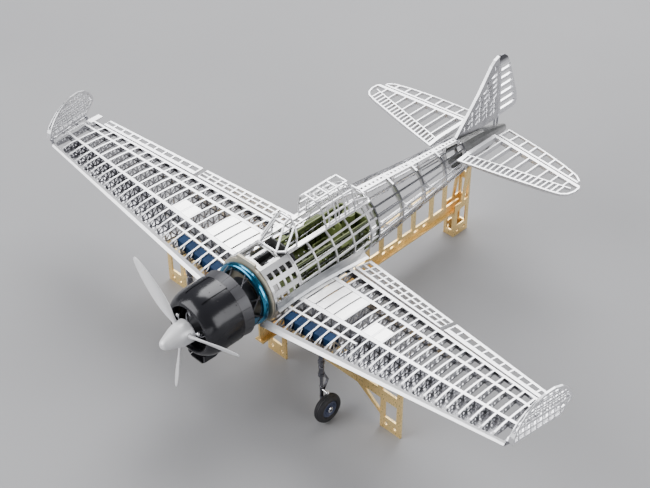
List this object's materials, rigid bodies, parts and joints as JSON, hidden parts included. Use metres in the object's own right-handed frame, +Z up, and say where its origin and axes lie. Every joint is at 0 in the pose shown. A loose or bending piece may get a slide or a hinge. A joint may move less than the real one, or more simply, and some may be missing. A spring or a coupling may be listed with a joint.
{
  "type": "skeleton model aircraft",
  "caption": "Etched-metal skeleton display model of a single-engined propeller fighter, wing tips folded up and canopy slid open, held level on a brass stand.",
  "frame": {"origin": "on the floor, at the bottom centre of the bounding box, under the middle of the model", "axes": "+Z up, -Y along the nose, +X towards the aircraft's left wing tip"},
  "size_m": [0.3554, 0.283, 0.1122],
  "materials": {
    "etched_steel": "bright etched",
    "white_metal": "satin, bare",
    "satin_silver": "satin",
    "gloss_black": "gloss",
    "dark_grey": "satin",
    "metallic_blue": "gloss metallic",
    "dark_blue": "satin",
    "bronze_plate": "matt",
    "olive": "matt",
    "black_panel": "matt",
    "brass": "satin",
    "tyre": "matt",
    "hub_blue_grey": "satin",
    "steel": "polished"
  },
  "bodies": {
    "airframe": {"cowling": "gloss_black", "cowl_flaps": "dark_grey", "engine_crankcase": "dark_grey", "engine_cylinders": "dark_grey", "engine_mount_ring": "metallic_blue", "chin_scoop": "gloss_black", "firewall": "bronze_plate", "nose_deck": "etched_steel", "fuselage_side_left": "etched_steel", "fuselage_side_right": "etched_steel", "cockpit_sides": "etched_steel", "fuselage_frames": "etched_steel", "rear_fuselage_lattice": "etched_steel", "dorsal_spine": "etched_steel", "tail_cone": "etched_steel", "root_fillets": "white_metal", "windshield_frame": "etched_steel", "canopy_rear": "etched_steel", "canopy_rails": "white_metal", "instrument_panel": "black_panel", "cockpit_floor": "olive", "seat": "olive", "control_stick": "steel", "cockpit_equipment": "olive", "walkway_panels": "white_metal", "fuel_cells": "dark_blue", "fold_hinges": "steel", "fin": "etched_steel", "rudder_post": "steel", "gear_legs": "steel", "stand_front_frame": "brass", "stand_beam": "brass", "stand_trestle": "brass", "wing_upper_left": "etched_steel", "wing_lower_left": "etched_steel", "wing_ribs_left": "etched_steel", "wing_spars_left": "etched_steel", "stabilizer_left": "etched_steel", "wing_upper_right": "etched_steel", "wing_lower_right": "etched_steel", "wing_ribs_right": "etched_steel", "wing_spars_right": "etched_steel", "stabilizer_right": "etched_steel"},
    "propeller_group": {"spinner": "satin_silver", "propeller": "satin_silver", "propeller_shaft": "steel"},
    "canopy_sliding": {"canopy_sliding": "etched_steel"},
    "rudder": {"rudder": "etched_steel"},
    "aileron_left": {"aileron_left": "etched_steel"},
    "flap_left": {"flap_left": "etched_steel"},
    "wingtip_left": {"wingtip_left": "etched_steel"},
    "elevator_left": {"elevator_left": "etched_steel"},
    "wheel_left": {"tyre_left": "tyre", "wheel_hub_left": "hub_blue_grey"},
    "aileron_right": {"aileron_right": "etched_steel"},
    "flap_right": {"flap_right": "etched_steel"},
    "wingtip_right": {"wingtip_right": "etched_steel"},
    "elevator_right": {"elevator_right": "etched_steel"},
    "wheel_right": {"tyre_right": "tyre", "wheel_hub_right": "hub_blue_grey"}
  },
  "joints": [
    {"name": "propeller_spin", "type": "hinge", "parent": "airframe", "child": "propeller_group", "pos_m": [0, -0.1276, 0.0586], "axis": [0, 1, 0], "continuous": true},
    {"name": "wingtip_fold_left", "type": "hinge", "parent": "airframe", "child": "wingtip_left", "pos_m": [0.1696, -0.0814, 0.071], "axis": [0.1503, 0.9885, 0.0168], "range_deg": [0, 83.5]},
    {"name": "wingtip_fold_right", "type": "hinge", "parent": "airframe", "child": "wingtip_right", "pos_m": [-0.1696, -0.0814, 0.071], "axis": [0.1503, -0.9885, -0.0168], "range_deg": [0, 83.5]},
    {"name": "aileron_hinge_left", "type": "hinge", "parent": "airframe", "child": "aileron_left", "pos_m": [0.095, -0.03617, 0.0602], "axis": [0.9824, -0.1514, 0.1098], "range_deg": [-22, 22]},
    {"name": "aileron_hinge_right", "type": "hinge", "parent": "airframe", "child": "aileron_right", "pos_m": [-0.095, -0.03617, 0.0602], "axis": [0.9824, 0.1514, -0.1098], "range_deg": [-22, 22]},
    {"name": "flap_hinge_left", "type": "hinge", "parent": "airframe", "child": "flap_left", "pos_m": [0.023, -0.02508, 0.05215], "axis": [0.9824, -0.1514, 0.1098], "range_deg": [-40, 0]},
    {"name": "flap_hinge_right", "type": "hinge", "parent": "airframe", "child": "flap_right", "pos_m": [-0.023, -0.02508, 0.05215], "axis": [0.9824, 0.1514, -0.1098], "range_deg": [-40, 0]},
    {"name": "elevator_hinge_left", "type": "hinge", "parent": "airframe", "child": "elevator_left", "pos_m": [0.0126, 0.10961, 0.0664], "axis": [0.9961, -0.0886, 0], "range_deg": [-25, 25]},
    {"name": "elevator_hinge_right", "type": "hinge", "parent": "airframe", "child": "elevator_right", "pos_m": [-0.0126, 0.10961, 0.0664], "axis": [0.9961, 0.0886, 0], "range_deg": [-25, 25]},
    {"name": "rudder_hinge", "type": "hinge", "parent": "airframe", "child": "rudder", "pos_m": [0, 0.1249, 0.0692], "axis": [0, -0.0811, 0.9967], "range_deg": [-30, 30]},
    {"name": "canopy_slide", "type": "slide", "parent": "airframe", "child": "canopy_sliding", "axis": [0, -1, 0], "range_m": [0, 0.0164]},
    {"name": "wheel_spin_left", "type": "hinge", "parent": "airframe", "child": "wheel_left", "pos_m": [0.0553, -0.0795, 0.0091], "axis": [1, 0, 0], "continuous": true},
    {"name": "wheel_spin_right", "type": "hinge", "parent": "airframe", "child": "wheel_right", "pos_m": [-0.0553, -0.0795, 0.0091], "axis": [1, 0, 0], "continuous": true}
  ],
  "couplings": [
    {"joint": "aileron_hinge_right", "follows": "aileron_hinge_left", "ratio": -1},
    {"joint": "flap_hinge_right", "follows": "flap_hinge_left", "ratio": 1},
    {"joint": "elevator_hinge_right", "follows": "elevator_hinge_left", "ratio": 1}
  ]
}
